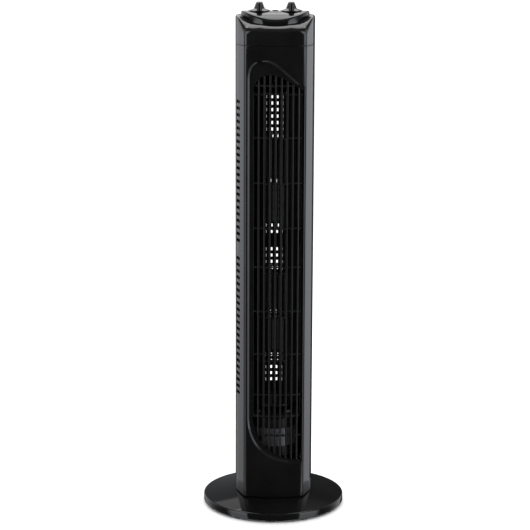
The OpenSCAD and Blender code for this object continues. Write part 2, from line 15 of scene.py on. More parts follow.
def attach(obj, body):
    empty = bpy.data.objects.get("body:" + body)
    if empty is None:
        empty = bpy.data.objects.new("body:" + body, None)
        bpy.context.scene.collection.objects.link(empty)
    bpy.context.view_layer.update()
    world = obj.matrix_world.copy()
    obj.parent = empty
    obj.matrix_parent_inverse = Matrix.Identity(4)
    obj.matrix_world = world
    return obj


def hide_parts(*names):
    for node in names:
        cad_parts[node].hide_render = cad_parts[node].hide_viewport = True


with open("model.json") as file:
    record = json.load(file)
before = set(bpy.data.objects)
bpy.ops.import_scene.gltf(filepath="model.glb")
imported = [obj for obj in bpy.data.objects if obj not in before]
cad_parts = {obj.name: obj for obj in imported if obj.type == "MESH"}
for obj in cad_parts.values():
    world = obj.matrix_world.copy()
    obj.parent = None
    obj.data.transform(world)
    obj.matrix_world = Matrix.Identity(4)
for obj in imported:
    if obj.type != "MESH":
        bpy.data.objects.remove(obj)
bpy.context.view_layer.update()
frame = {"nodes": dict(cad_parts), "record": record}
scene = bpy.context.scene
MM = 0.001

# Tower: the CAD model's outline, with softer roundings
HALF_W = 60.0
CORNER = Vector((46.0, -48.0))
SIDE = Vector((60.0, -12.0))
FRONT_R = 122.055
FRONT_CY = 65.055
REAR_R = 66.5
REAR_CY = -12.0
CORNER_START = 44.4
CORNER_EASE = 6.5
SIDE_ROUND = 75.0
BACK_ROUND = 18.0
WALL = 2.5
GAP = 0.3
EDGE_ROLL = 0.6
ROLL_STEPS = ((0.0, EDGE_ROLL), (0.05, 0.3), (0.16, 0.1), (0.4, 0.0))   # (inwards, down from the edge)
TOWER_Z0 = 22.5
TOWER_Z1 = 720.3
HEAD_Z0 = 720.8
TOWER_MIDDLE = (0.0, 0.0, 370.0)

# Air outlet and the recess around it
OUTLET_LEFT = -33.5
OUTLET_RIGHT = 43.3
OUTLET_TOP = 678.7
OUTLET_BOTTOM = 81.0
RECESS_LEFT = -40.5
RECESS_RIGHT = 43.7
RECESS_LEFT_Z = (150.0, 672.0)
RECESS_RIGHT_Z = (79.0, 660.0)
RECESS_DEPTH = 3.0
RAMP_OUT = 0.8
RAMP_IN = 2.8
BAR_FIRST_X = -32.85
BAR_PITCH = 8.55
BAR_COUNT = 9
BAR_W = 2.6
CROSS_W = 2.2
CROSS_Z = (121.5, 186.5, 251.0, 318.5, 387.0, 447.0, 515.5, 584.0, 649.0)
BAR_FACE = 4.0
BAR_BACK = 7.5

# Vents
VENT_Z = (181.5, 421.5)
VENT_PITCH = 10.1
VENT_H = 5.0
VENT_COUNT = 22
SIDE_VENT_Y = (-31.0, -15.0)
REAR_VENT_ANGLES = (60.0, 150.0)
REAR_RIB_ANGLES = (78.0, 102.0, 126.0)

# Fastenings and the gland: the cover screws are at (x, z), and the gland is at height GLAND_Z
COVER_SCREWS = [(x, z) for z in (40.0, 408.0, 700.0) for x in (-50.0, 50.0)]
GLAND_Z = 74.0

# Base
BASE_R = 110.0
BASE_SKIN = 2.5
LAND_R = 56.0
LAND_Z = 21.0
RIM_Z = 14.2
POST_HOLE_R = 9.0
FOOT_COUNT = 12
FOOT_RING_R = 99.0
FOOT_START = -93.0
FOOT_TOP = 3.5
BALLAST_RING_R = 62.0

# Head
SHOULDER_Z = 764.0
PANEL_TOP_Z = 743.0
DOME_Z = 770.0
DOME_R = 73.5
PLATE_R = 51.5
PLATE_CY = 9.5
PLATE_BACK = 30.0
KNOB_X = 24.0
RIM_START = -45.5
RIM_SLOPE = 0.86
COLLAR_BULGE = 0.8
PLATE_FOOT_Z = 746.0
KNOB_SEAT_R = 17.6
KNOB_SEAT_Z = 768.2
KNOB_FOOT_Z = 768.6
KNOB_TOP_Z = 783.5
GRIP_R = 4.3
GRIP_HALF_L = 16.0
BUTTON_R = 4.7
BUTTON_TOP_Z = 771.0


# ---------- camera, light and floor ----------

CAMERA_PLACE = (-0.0143, -2.5, 0.88185)
CAMERA_DOWN = 11.34
CAMERA_ROLL = 0.19
CAMERA_LENS = 111.87
EVEN_LIGHT = 1.4
# What the gloss mirrors, at and below the horizon and above it: (degrees from the front, brightness)
STUDIO_PEAK = 5.0
STUDIO_LOW = ((-180, 0.15), (-168, 0.2), (-155, 0.5), (-146, 1.15), (-130, 1.2), (-105, 0.3), (-82, 0.15),
              (-72, 4.0), (-45, 4.4), (-42, 0.05), (42, 0.05), (45, 4.4), (72, 4.0), (82, 0.15),
              (105, 0.3), (130, 1.5), (144, 1.5), (150, 0.12), (168, 0.05), (180, 0.05))
STUDIO_HIGH = ((-180, 0.17), (-160, 0.2), (-150, 1.2), (-110, 1.2), (-90, 0.3), (-75, 0.5), (-62, 3.6),
               (-45, 4.0), (-42, 0.05), (42, 0.05), (45, 4.0), (62, 3.6), (75, 0.5), (90, 0.3),
               (110, 1.2), (150, 1.2), (160, 0.05), (180, 0.04))
STUDIO_TINT = (0.93, 0.95, 1.0)
# Share of the brightness left where the mirrored ray points this steeply down, and where it's level
STUDIO_FALL = ((-0.33, 0.55), (-0.05, 1.0))
# Soft panels over the back of the fan: (to the right, distance behind, height, width, depth, brightness)
OVERHEAD = ((-0.15, 1.5, 1.0, 0.5, 0.25, 0.5), (-0.15, 1.36, 1.3, 0.7, 0.4, 1.2),
            (-0.1, 1.1, 1.75, 1.5, 0.6, 2.6), (0.0, 0.75, 2.25, 1.8, 0.6, 3.6))


def link(obj):
    """Puts an object in the scene."""
    scene.collection.objects.link(obj)
    return obj


def feed(tree, socket, value):
    """Sets a node's socket, or links it where the value is another node's output."""
    if isinstance(value, bpy.types.NodeSocket):
        tree.links.new(value, socket)
    else:
        socket.default_value = value


def add_camera():
    data = bpy.data.cameras.new("camera")
    data.sensor_width = 36.0
    data.lens = CAMERA_LENS
    data.clip_end = 100.0
    camera = link(bpy.data.objects.new("camera", data))
    tilt = Matrix.Rotation(math.radians(90 - CAMERA_DOWN), 4, "X")
    roll = Matrix.Rotation(math.radians(CAMERA_ROLL), 4, "Z")
    camera.matrix_world = Matrix.Translation(CAMERA_PLACE) @ tilt @ roll
    scene.camera = camera


def add_world():
    """An even white surround lights the fan, and its gloss mirrors dark walls and tall soft panels."""
    world = bpy.data.worlds.new("studio")
    scene.world = world
    world.use_nodes = True
    tree = world.node_tree
    tree.nodes.clear()

    def node(kind, *values, **settings):
        made = tree.nodes.new(kind)
        for name, value in settings.items():
            setattr(made, name, value)
        for socket, value in zip(made.inputs, values):
            feed(tree, socket, value)
        return made

    coords = node("ShaderNodeTexCoord")
    axes = node("ShaderNodeSeparateXYZ", coords.outputs["Generated"]).outputs
    behind = node("ShaderNodeMath", axes["Y"], -1.0, operation="MULTIPLY").outputs[0]
    turn = node("ShaderNodeMath", axes["X"], behind, operation="ARCTAN2").outputs[0]
    share = node("ShaderNodeMath", turn, 0.5 / math.pi, 0.5, operation="MULTIPLY_ADD").outputs[0]

    def panels(stops):
        """Brightness by compass direction: degrees from the front, negative to the left."""
        ramp = node("ShaderNodeValToRGB", share)
        elements = ramp.color_ramp.elements
        for i, (degrees, value) in enumerate(stops):
            element = elements[i] if i < 2 else elements.new(0.999)
            element.position = 0.5 + degrees / 360.0
            element.color = tuple(value / STUDIO_PEAK * tint for tint in STUDIO_TINT) + (1.0,)
        return ramp.outputs["Color"]

    def blend(low, high, start, stop):
        """From low to high as the direction rises from start to stop."""
        rise = node("ShaderNodeMapRange", axes["Z"], start, stop)
        mixer = node("ShaderNodeMix", data_type="RGBA")
        tree.links.new(rise.outputs[0], mixer.inputs["Factor"])
        feed(tree, mixer.inputs[6], low)
        feed(tree, mixer.inputs[7], high)
        return mixer.outputs[2]

    walls = blend(panels(STUDIO_LOW), panels(STUDIO_HIGH), -0.03, 0.03)
    studio_light = blend(walls, (0.05, 0.05, 0.05, 1.0), 0.45, 0.65)
    even = node("ShaderNodeBackground", (1.0, 1.0, 1.0, 1.0), EVEN_LIGHT)
    (steep, least), (level, most) = STUDIO_FALL
    fall = node("ShaderNodeMapRange", axes["Z"], steep, level, least * STUDIO_PEAK, most * STUDIO_PEAK)
    studio = node("ShaderNodeBackground", studio_light, fall.outputs[0])
    path = node("ShaderNodeLightPath")
    pick = node("ShaderNodeMixShader", path.outputs["Is Glossy Ray"], even.outputs[0], studio.outputs[0])
    node("ShaderNodeOutputWorld", pick.outputs[0])


def add_floor():
    """A wide pale floor, which the gloss doesn't mirror."""
    half = 30.0
    mesh = bpy.data.meshes.new("floor")
    corners = [(-half, -half, 0), (half, -half, 0), (half, half, 0), (-half, half, 0)]
    mesh.from_pydata(corners, [], [(0, 1, 2, 3)])
    floor = link(bpy.data.objects.new("floor", mesh))
    floor.data.materials.append(floor_material())
    floor.visible_glossy = False


def add_lights():
    """Stacked soft panels above and behind, which the level tops mirror."""
    target = Vector((0.0, 0.0, 0.77))
    for i, (right, behind, height, width, depth, brightness) in enumerate(OVERHEAD):
        data = bpy.data.lights.new(f"overhead_{i}", "AREA")
        data.shape = "RECTANGLE"
        data.size, data.size_y = width, depth
        data.energy = brightness * math.pi * width * depth
        lamp = link(bpy.data.objects.new(f"overhead_{i}", data))
        lamp.location = (right, behind, height)
        lamp.rotation_euler = (target - lamp.location).to_track_quat("-Z", "Y").to_euler()
        lamp.visible_camera = False
    scene.view_settings.view_transform = "Standard"


# ---------- materials ----------

class Nodes:
    """A short way to write a material's nodes."""

    def __init__(self, name):
        self.material = bpy.data.materials.new(name)
        self.material.use_nodes = True
        self.tree = self.material.node_tree
        self.shader = self.tree.nodes["Principled BSDF"]

    def add(self, kind, **inputs):
        node = self.tree.nodes.new(kind)
        for key, value in inputs.items():
            name = key.replace("_", " ")
            if name in node.inputs:
                feed(self.tree, node.inputs[name], value)
            else:
                setattr(node, key, value)
        return node

    def link(self, output, socket):
        self.tree.links.new(output, self.shader.inputs[socket])

    def place(self, stretch=(1.0, 1.0, 1.0)):
        coords = self.add("ShaderNodeTexCoord")
        mapping = self.add("ShaderNodeMapping", Vector=coords.outputs["Object"], Scale=stretch)
        return mapping.outputs["Vector"]

    def noise(self, scale, detail=4.0, rough=0.55, stretch=(1.0, 1.0, 1.0)):
        return self.add("ShaderNodeTexNoise", Vector=self.place(stretch), Scale=scale, Detail=detail,
                        Roughness=rough).outputs["Fac"]

    def ramp(self, fac, stops):
        node = self.add("ShaderNodeValToRGB", Fac=fac)
        elements = node.color_ramp.elements
        elements[0].position, elements[0].color = stops[0][0], grey(stops[0][1])
        elements[1].position, elements[1].color = stops[-1][0], grey(stops[-1][1])
        for position, value in stops[1:-1]:
            elements.new(position).color = grey(value)
        return node.outputs["Color"]

    def bump(self, height, strength, distance, normal=None):
        node = self.add("ShaderNodeBump", Height=height, Strength=strength, Distance=distance)
        if normal is not None:
            self.tree.links.new(normal, node.inputs["Normal"])
        return node.outputs["Normal"]


def grey(value):
    return tuple(value) + (1.0,) if isinstance(value, (tuple, list)) else (value, value, value, 1.0)


def floor_material():
    n = Nodes("pale_floor")
    n.link(n.ramp(n.noise(0.7, 2.0), [(0.35, 0.86), (0.65, 0.88)]), "Base Color")
    n.shader.inputs["Roughness"].default_value = 0.9
    n.shader.inputs["Specular IOR Level"].default_value = 0.1
    return n.material


def plastic(name, dark, light, rough, grain=0.0, grain_size=900.0, ior=1.45):
    """Moulded plastic: cloudy colour, handling marks in the gloss, a faint flow and optional grain."""
    n = Nodes(name)
    n.link(n.ramp(n.noise(24.0), [(0.3, dark), (0.7, light)]), "Base Color")
    smudge = n.noise(9.0, 6.0, 0.62, (1.0, 1.0, 0.35))
    n.link(n.ramp(smudge, [(0.32, rough[0]), (0.62, rough[1]), (0.8, rough[2])]), "Roughness")
    normal = n.bump(n.noise(55.0, 1.0, 0.4), 0.06, 0.0006)
    if grain:
        normal = n.bump(n.noise(grain_size, 2.0, 0.5), grain, 0.0002, normal)
    n.link(normal, "Normal")
    n.shader.inputs["IOR"].default_value = ior
    return n.material


def rubber(name):
    """Matt rubber with a fine grain."""
    n = Nodes(name)
    n.link(n.ramp(n.noise(60.0), [(0.3, 0.012), (0.75, 0.03)]), "Base Color")
    n.link(n.ramp(n.noise(140.0), [(0.3, 0.55), (0.7, 0.78)]), "Roughness")
    n.link(n.bump(n.noise(1400.0, 3.0), 0.35, 0.0002), "Normal")
    return n.material


def metal(name, dark, light, rough, brushed=(1.0, 1.0, 1.0)):
    """Bare metal: cloudy tone, uneven gloss and fine brushing."""
    n = Nodes(name)
    n.link(n.ramp(n.noise(90.0, 5.0, 0.6, brushed), [(0.25, dark), (0.75, light)]), "Base Color")
    n.link(n.ramp(n.noise(240.0, 3.0, 0.6, brushed), [(0.3, rough[0]), (0.7, rough[1])]), "Roughness")
    n.link(n.bump(n.noise(700.0, 2.0, 0.5, brushed), 0.12, 0.0001), "Normal")
    n.shader.inputs["Metallic"].default_value = 1.0
    return n.material


def banded(name, dark, light, rough, per_metre, pattern, metallic):
    """Fine parallel lines: stacked sheets, or turns of wire."""
    n = Nodes(name)
    wave = n.add("ShaderNodeTexWave", Vector=n.place(), Scale=per_metre, Distortion=0.4,
                 wave_type=pattern, bands_direction="Z", rings_direction="Z")
    n.link(n.ramp(wave.outputs["Fac"], [(0.2, dark), (0.8, light)]), "Base Color")
    n.link(n.ramp(n.noise(120.0), [(0.3, rough[0]), (0.7, rough[1])]), "Roughness")
    n.link(n.bump(wave.outputs["Fac"], 0.5, 0.0002), "Normal")
    n.shader.inputs["Metallic"].default_value = metallic
    return n.material


def sleeve(name):
    """A braided sleeve: two sets of slanting strands."""
    n = Nodes(name)
    strands = []
    for turn in (0.9, -0.9):
        coords = n.add("ShaderNodeTexCoord")
        mapping = n.add("ShaderNodeMapping", Vector=coords.outputs["Object"], Rotation=(turn, turn, 0.0))
        wave = n.add("ShaderNodeTexWave", Vector=mapping.outputs["Vector"], Scale=260.0)
        strands.append(wave.outputs["Fac"])
    braid = n.add("ShaderNodeMath", operation="MULTIPLY")
    n.tree.links.new(strands[0], braid.inputs[0])
    n.tree.links.new(strands[1], braid.inputs[1])
    n.link(n.ramp(braid.outputs[0], [(0.1, 0.01), (0.8, 0.06)]), "Base Color")
    n.link(n.bump(braid.outputs[0], 0.6, 0.0003), "Normal")
    n.shader.inputs["Roughness"].default_value = 0.5
    return n.material


# The way each material is made, its slot, and the numbers that go with it
MATERIALS = (
    (plastic, "gloss_black", 0.003, 0.005, (0.06, 0.09, 0.15), 0.0, 900.0, 1.38),
    (plastic, "satin_black", 0.005, 0.01, (0.34, 0.42, 0.5), 0.25, 900.0, 1.38),
    (plastic, "rotor_plastic", 0.003, 0.007, (0.34, 0.42, 0.5), 0.3, 1300.0, 1.35),
    (rubber, "rubber"),
    (plastic, "white_nylon", (0.7, 0.68, 0.61), (0.8, 0.79, 0.74), (0.38, 0.45, 0.55), 0.1),
    (plastic, "switch_resin", (0.5, 0.46, 0.36), (0.62, 0.58, 0.48), (0.3, 0.4, 0.5), 0.15),
    (metal, "zinc_steel", (0.5, 0.5, 0.49), (0.7, 0.7, 0.67), (0.26, 0.42)),
    (plastic, "black_steel", 0.004, 0.009, (0.3, 0.38, 0.5), 0.15, 1100.0, 1.4),
    (metal, "ground_steel", (0.55, 0.55, 0.56), (0.72, 0.72, 0.73), (0.14, 0.24), (1.0, 1.0, 30.0)),
    (banded, "laminations", (0.12, 0.12, 0.13), (0.3, 0.3, 0.32), (0.35, 0.5), 320.0, "BANDS", 0.9),
    (banded, "copper", (0.35, 0.13, 0.05), (0.75, 0.36, 0.16), (0.2, 0.32), 420.0, "RINGS", 1.0),
    (plastic, "capacitor_case", (0.03, 0.035, 0.05), (0.05, 0.06, 0.08), (0.3, 0.36, 0.45), 0.1),
    (metal, "bronze", (0.42, 0.27, 0.12), (0.66, 0.46, 0.24), (0.28, 0.42)),
    (sleeve, "wire_sleeve"),
)


# ---------- mesh helpers ----------

class Sheet:
    """Collects faces by the positions of their corners, and merges corners that coincide."""

    def __init__(self):
        self.points = []
        self.index = {}
        self.faces = []

    def corner(self, point):
        key = tuple(round(c, 4) for c in point)
        if key not in self.index:
            self.index[key] = len(self.points)
            self.points.append(tuple(point))
        return self.index[key]

    def face(self, *points):
        corners = []
        for point in points:
            corner = self.corner(point)
            if corner not in corners:
                corners.append(corner)
        if len(corners) > 2:
            self.faces.append(corners)

    def strip(self, first, second, closed=False):
        count = len(first)
        for i in range(count if closed else count - 1):
            j = (i + 1) % count
            self.face(first[i], first[j], second[j], second[i])

    def loft(self, loops, closed=True):
        for first, second in zip(loops, loops[1:]):
            self.strip(first, second, closed)

    def prism(self, loops):
        """A loft with both of its ends closed."""
        self.loft(loops)
        self.face(*loops[0])
        self.face(*loops[-1][::-1])

    def mesh(self, name, inside=None):
        """Makes the mesh. Normals point away from the inside point, or are worked out for a closed solid."""
        data = bpy.data.meshes.new(name)
        data.from_pydata([tuple(c * MM for c in p) for p in self.points], [], self.faces)
        work = bmesh.new()
        work.from_mesh(data)
        bmesh.ops.recalc_face_normals(work, faces=work.faces)
        if inside is not None:
            centre = Vector(inside) * MM
            total = sum(f.calc_area() * f.normal.dot(f.calc_center_median() - centre) for f in work.faces)
            if total < 0:
                bmesh.ops.reverse_faces(work, faces=work.faces)
        work.to_mesh(data)
        work.free()
        for polygon in data.polygons:
            polygon.use_smooth = True
        return data


def piece(name, data, body, slot, *nodes):
    """Puts a mesh in the scene as a piece that rides on a body and stands for CAD nodes."""
    obj = link(bpy.data.objects.new(name, data))
    obj.data.materials.append(materials[slot])
    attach(obj, body)
    if nodes:
        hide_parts(*nodes)
    return obj


def solid(name, sheet, angle, body, slot, *nodes):
    """A piece made of closed solids, shaded sharp where faces meet at more than the angle."""
    data = sheet.mesh(name)
    sharpen(data, angle)
    piece(name, data, body, slot, *nodes)


def shell(name, sheet, node, inside, thickness):
    """A gloss black piece of the tower: a wall of even thickness behind an outer surface."""
    obj = piece(name, sheet.mesh(name, inside), "tower", "gloss_black", node)
    wall = obj.modifiers.new("wall", "SOLIDIFY")
    wall.thickness = thickness * MM
    wall.offset = -1.0
    wall.use_even_offset = True
    return obj


def bake(obj):
    """Keeps the result of a piece's modifiers as its mesh."""
    bpy.context.view_layer.update()
    done = bpy.data.meshes.new_from_object(obj.evaluated_get(bpy.context.evaluated_depsgraph_get()))
    obj.modifiers.clear()
    obj.data = done


def sharpen(data, angle):
    """Shades a mesh sharp where its faces meet at more than the angle."""
    data.set_sharp_from_angle(angle=math.radians(angle))


def carve(obj, cutter_mesh):
    """Cuts a shape out of a piece and keeps the result as its mesh."""
    cutter = link(bpy.data.objects.new("cutter", cutter_mesh))
    cut = obj.modifiers.new("cut", "BOOLEAN")
    cut.operation = "DIFFERENCE"
    cut.solver = "EXACT"
    cut.object = cutter
    bake(obj)
    bpy.data.objects.remove(cutter)


def line(a, b, count):
    """Points from a towards b, without b."""
    return [tuple(p + (q - p) * i / count for p, q in zip(a, b)) for i in range(count)]


def bezier(p, count):
    """Points of a cubic curve, without its last point."""
    points = []
    for i in range(count):
        t = i / count
        weights = ((1 - t) ** 3, 3 * t * (1 - t) ** 2, 3 * t * t * (1 - t), t ** 3)
        points.append(tuple(sum(w * q[axis] for w, q in zip(weights, p)) for axis in (0, 1)))
    return points


def mix(a, b, t):
    """The point a share t of the way from a to b."""
    return tuple(p + (q - p) * t for p, q in zip(a, b))


def around(count, radius, start, z):
    """Points evenly spaced round the fan's axis, from the start angle in degrees."""
    angles = [math.radians(start + 360.0 * i / count) for i in range(count)]
    return [(radius * math.cos(a), radius * math.sin(a), z) for a in angles]


def turned(profile, centre=(0.0, 0.0), segments=48, along_y=False):
    """Loops of a shape turned about Z, or about Y, from (radius, height) points. A radius of 0 closes it."""
    loops = []
    for radius, height in profile:
        loop = []
        for i in range(segments):
            a = 2 * math.pi * i / segments
            u, v = radius * math.cos(a), radius * math.sin(a)
            if along_y:
                loop.append((centre[0] + u, height, centre[1] + v))
            else:
                loop.append((centre[0] + u, centre[1] + v, height))
        loops.append(loop)
    return loops


def rounded(profile, radius, steps=3):
    """Rounds the inner corners of a (radius, height) profile."""
    result = [profile[0]]
    for before, here, after in zip(profile, profile[1:], profile[2:]):
        a, p, b = Vector(before), Vector(here), Vector(after)
        reach = min(radius, (a - p).length * 0.45, (b - p).length * 0.45)
        start, stop = p + (a - p).normalized() * reach, p + (b - p).normalized() * reach
        for i in range(steps + 1):
            t = i / steps
            result.append(tuple(start * (1 - t) ** 2 + p * 2 * t * (1 - t) + stop * t * t))
    result.append(profile[-1])
    return result


# ---------- the tower's outline ----------

def front_y(x, depth=0.0):
    """Y of the bulged front at x, moved back by depth."""
    return FRONT_CY - math.sqrt((FRONT_R - depth) ** 2 - x * x)


def facet_frame():
    """Direction along the corner facet, and its outward normal, on the right side."""
    along = (SIDE - CORNER).normalized()
    return along, Vector((along.y, -along.x))


def corner_fillet(steps=6):
    """Points of the rounding between the front and the facet: tight at the front, easing into the facet."""
    along, _ = facet_frame()
    start = Vector((CORNER_START, front_y(CORNER_START)))
    stop = CORNER + along * CORNER_EASE
    curve = (start, start.lerp(CORNER, 0.8), stop.lerp(CORNER, 0.8), stop)
    return bezier(curve, steps) + [tuple(stop)]


def side_arc(y_from, y_to, steps):
    """Points of the wide rounding where the facet turns into the side, between two values of y."""
    centre_y = SIDE.y + SIDE_ROUND * math.tan(0.5 * facet_turn())
    centre_x = HALF_W - SIDE_ROUND
    points = []
    for i in range(steps + 1):
        y = y_from + (y_to - y_from) * i / steps
        points.append((centre_x + math.sqrt(SIDE_ROUND ** 2 - (y - centre_y) ** 2), y))
    return points


def facet_turn():
    """The angle between the facet and the side."""
    along, _ = facet_frame()
    return math.atan2(along.x, along.y)


def facet_end():
    """Where the facet starts to turn into the side."""
    along, _ = facet_frame()
    return tuple(SIDE - along * (SIDE_ROUND * math.tan(0.5 * facet_turn())))


def rear_half(y_from):
    """Points from y_from on the side round to the middle of the back, on the right side."""
    reach = REAR_R - BACK_ROUND
    side_x = HALF_W - BACK_ROUND
    lift = math.sqrt(reach * reach - side_x * side_x)
    centre = (side_x, REAR_CY + lift)
    stop = math.atan2(lift, side_x)
    side_start = SIDE.y + SIDE_ROUND * math.tan(0.5 * facet_turn())
    points = side_arc(y_from, side_start, 6)[:-1] + line((HALF_W, side_start), (HALF_W, centre[1]), 8)
    for i in range(8):
        a = stop * i / 8
        points.append((centre[0] + BACK_ROUND * math.cos(a), centre[1] + BACK_ROUND * math.sin(a)))
    steps = 26
    for i in range(steps + 1):
        a = stop + (math.pi / 2 - stop) * i / steps
        points.append((REAR_R * math.cos(a), REAR_CY + REAR_R * math.sin(a)))
    return points


class Path:
    """A polyline that can be asked for the point at a distance along it."""

    def __init__(self, points):
        self.points = [Vector(p) for p in points]
        self.at = [0.0]
        for a, b in zip(self.points, self.points[1:]):
            self.at.append(self.at[-1] + (b - a).length)
        self.length = self.at[-1]

    def point(self, s):
        s = min(max(s, 0.0), self.length)
        for i in range(1, len(self.at)):
            if s <= self.at[i] + 1e-9:
                span = self.at[i] - self.at[i - 1]
                t = (s - self.at[i - 1]) / span if span else 0.0
                return tuple(self.points[i - 1].lerp(self.points[i], t))
        return tuple(self.points[-1])

    def where(self, test):
        """The first distance at which test(point) holds."""
        steps = 4000
        return next(self.length * i / steps for i in range(steps + 1)
                    if test(*self.point(self.length * i / steps)))


def slot_row(sheet, place, columns, z0, z1, middle):
    """A row of faces with one round-ended slot.

    columns are distances along the wall. The first and last are the row's ends, and the slot's
    straight edges run from the second to the last but one.
    """
    half = VENT_H / 2
    low, high = middle - half, middle + half
    for a, b in zip(columns[1:-1], columns[2:-1]):
        sheet.face(place(a, high), place(b, high), place(b, z1), place(a, z1))
        sheet.face(place(a, z0), place(b, z0), place(b, low), place(a, low))
    for end, tip in ((columns[0], columns[1]), (columns[-1], columns[-2])):
        way = -1 if end < tip else 1
        outer = [(tip, z1), (end, z1), (end, high), (end, middle), (end, low), (end, z0), (tip, z0)]
        inner = [(tip + way * half * math.sin(math.radians(a)), middle + half * math.cos(math.radians(a)))
                 for a in range(0, 181, 30)]
        for i in range(6):
            sheet.face(place(*inner[i]), place(*inner[i + 1]), place(*outer[i + 1]), place(*outer[i]))


def vent_cells():
    """(lower edge, upper edge, middle of the slot) of every row with a slot, from the bottom up."""
    margin = (VENT_PITCH - VENT_H) / 2
    return [(z - margin, z - margin + VENT_PITCH, z + VENT_H / 2)
            for start in VENT_Z for z in (start + i * VENT_PITCH for i in range(VENT_COUNT))]


def vent_levels():
    """Heights at which rows of faces meet, through both fields of slots."""
    levels = []
    for low, high, middle in vent_cells():
        for z in (low, middle - VENT_H / 2, middle, middle + VENT_H / 2, high):
            if not levels or z > levels[-1] + 0.01:
                levels.append(z)
    return levels


# ---------- front cover ----------

def outlet_curves(grow):
    """The outlet's outline, grown: control points of its top left, top right and bottom curves."""
    left, right = OUTLET_LEFT - grow, OUTLET_RIGHT + min(grow, 0.6)
    top, bottom = OUTLET_TOP + grow, OUTLET_BOTTOM - grow
    crest = (-7.0, top)
    return (
        [(left, 650.0), (left, 668.0 + grow), (-20.0, top), crest],
        [crest, (5.0, top), (22.0, 668.0 + grow), (right, 654.5 + grow)],
        [(right, bottom), (-10.0, bottom), (left, 118.0 - grow), (left, 160.0)],
    )


RECESS_CREST = (-15.0, 699.5)
RECESS_CURVES = (
    [(RECESS_LEFT, RECESS_LEFT_Z[1]), (RECESS_LEFT, 695.0), (-28.0, 699.5), RECESS_CREST],
    [RECESS_CREST, (5.0, 699.5), (22.0, 672.0), (RECESS_RIGHT, RECESS_RIGHT_Z[1])],
    [(RECESS_RIGHT, RECESS_RIGHT_Z[0]), (-14.0, 76.0), (RECESS_LEFT, 108.0),
     (RECESS_LEFT, RECESS_LEFT_Z[0])],
)
# Points along each curve, shared out over the stretches of the panel's border that they're joined to
TOP_LEFT_STEPS = (8, 16)
TOP_RIGHT_STEPS = (30, 10)
BOTTOM_STEPS = (8, 46, 12)


def loop_through(curves, left_levels, right_steps):
    """One loop of points through three curves and the straight sides between them."""
    top_left, top_right, bottom = curves
    low, high = bottom[-1][1], top_left[0][1]
    span = left_levels[-1] - left_levels[0]
    left = [(bottom[-1][0], low + (z - left_levels[0]) / span * (high - low)) for z in left_levels[:-1]]
    return (bezier(top_left, sum(TOP_LEFT_STEPS)) + bezier(top_right, sum(TOP_RIGHT_STEPS))
            + line(top_right[-1], bottom[0], right_steps) + bezier(bottom, sum(BOTTOM_STEPS)) + left)


def clearance(point, loop):
    """Distance from a point to a closed loop of straight lines."""
    here = Vector(point)
    nearest = math.inf
    for a, b in zip(loop, loop[1:] + loop[:1]):
        start = Vector(a)
        run = Vector(b) - start
        share = (here - start).dot(run) / max(run.length_squared, 1e-9)
        nearest = min(nearest, (here - start - run * min(max(share, 0.0), 1.0)).length)
    return nearest


def moved_in(loop, distances):
    """A clockwise loop with each point moved square to it, inwards by its own distance."""
    points = []
    for before, here, after, distance in zip(loop[-1:] + loop[:-1], loop, loop[1:] + loop[:1], distances):
        run = (Vector(after) - Vector(before)).normalized()
        points.append((here[0] + run.y * distance, here[1] - run.x * distance))
    return points


def eased(loop, distances):
    """The distances, held down where they'd change fast from one point of the loop to the next."""
    count = len(loop)
    held = list(distances)
    for way in (1, -1):
        for i in range(0, 2 * count * way, way):
            here, before = i % count, (i - way) % count
            held[here] = min(held[here], held[before] + 0.3 * math.dist(loop[here], loop[before]))
    return held


def ramp_depth(t):
    """Depth of the recess's edge from its top (t 0) to its foot (t 1): straight, with rounded ends."""
    ends = 0.2
    slope = 1.0 / (1.0 - ends)
    if t < ends:
        return 0.5 * slope * t * t / ends
    if t > 1.0 - ends:
        return 1.0 - 0.5 * slope * (1.0 - t) ** 2 / ends
    return slope * (t - 0.5 * ends)


def rolled_edge(sheet, points, z, way):
    """Rolls the top (way 1) or bottom (way -1) edge of a wall inwards, ending at height z."""
    inset_points = []
    for before, here, after in zip([points[0]] + points[:-1], points, points[1:] + [points[-1]]):
        run = (Vector(after) - Vector(before)).normalized()
        inset_points.append((here, (-run.y, run.x)))
    rows = []
    for inset, drop in ROLL_STEPS:
        rows.append([(x + nx * inset, y + ny * inset, z - way * drop) for (x, y), (nx, ny) in inset_points])
    sheet.loft(rows, False)


def slotted_wall(sheet, place, before, columns, after, levels, cells):
    """A wall of faces between levels, with a slot across the columns in every cell."""
    for low, high, middle in cells:
        slot_row(sheet, place, columns, low, high, middle)
    for low, high in zip(levels, levels[1:]):
        in_cell = any(cell[0] - 0.01 < (low + high) / 2 < cell[1] + 0.01 for cell in cells)
        for part in ([before, after] if in_cell else [before, columns, after]):
            for a, b in zip(part, part[1:]):
                sheet.face(place(a, low), place(b, low), place(b, high), place(a, high))


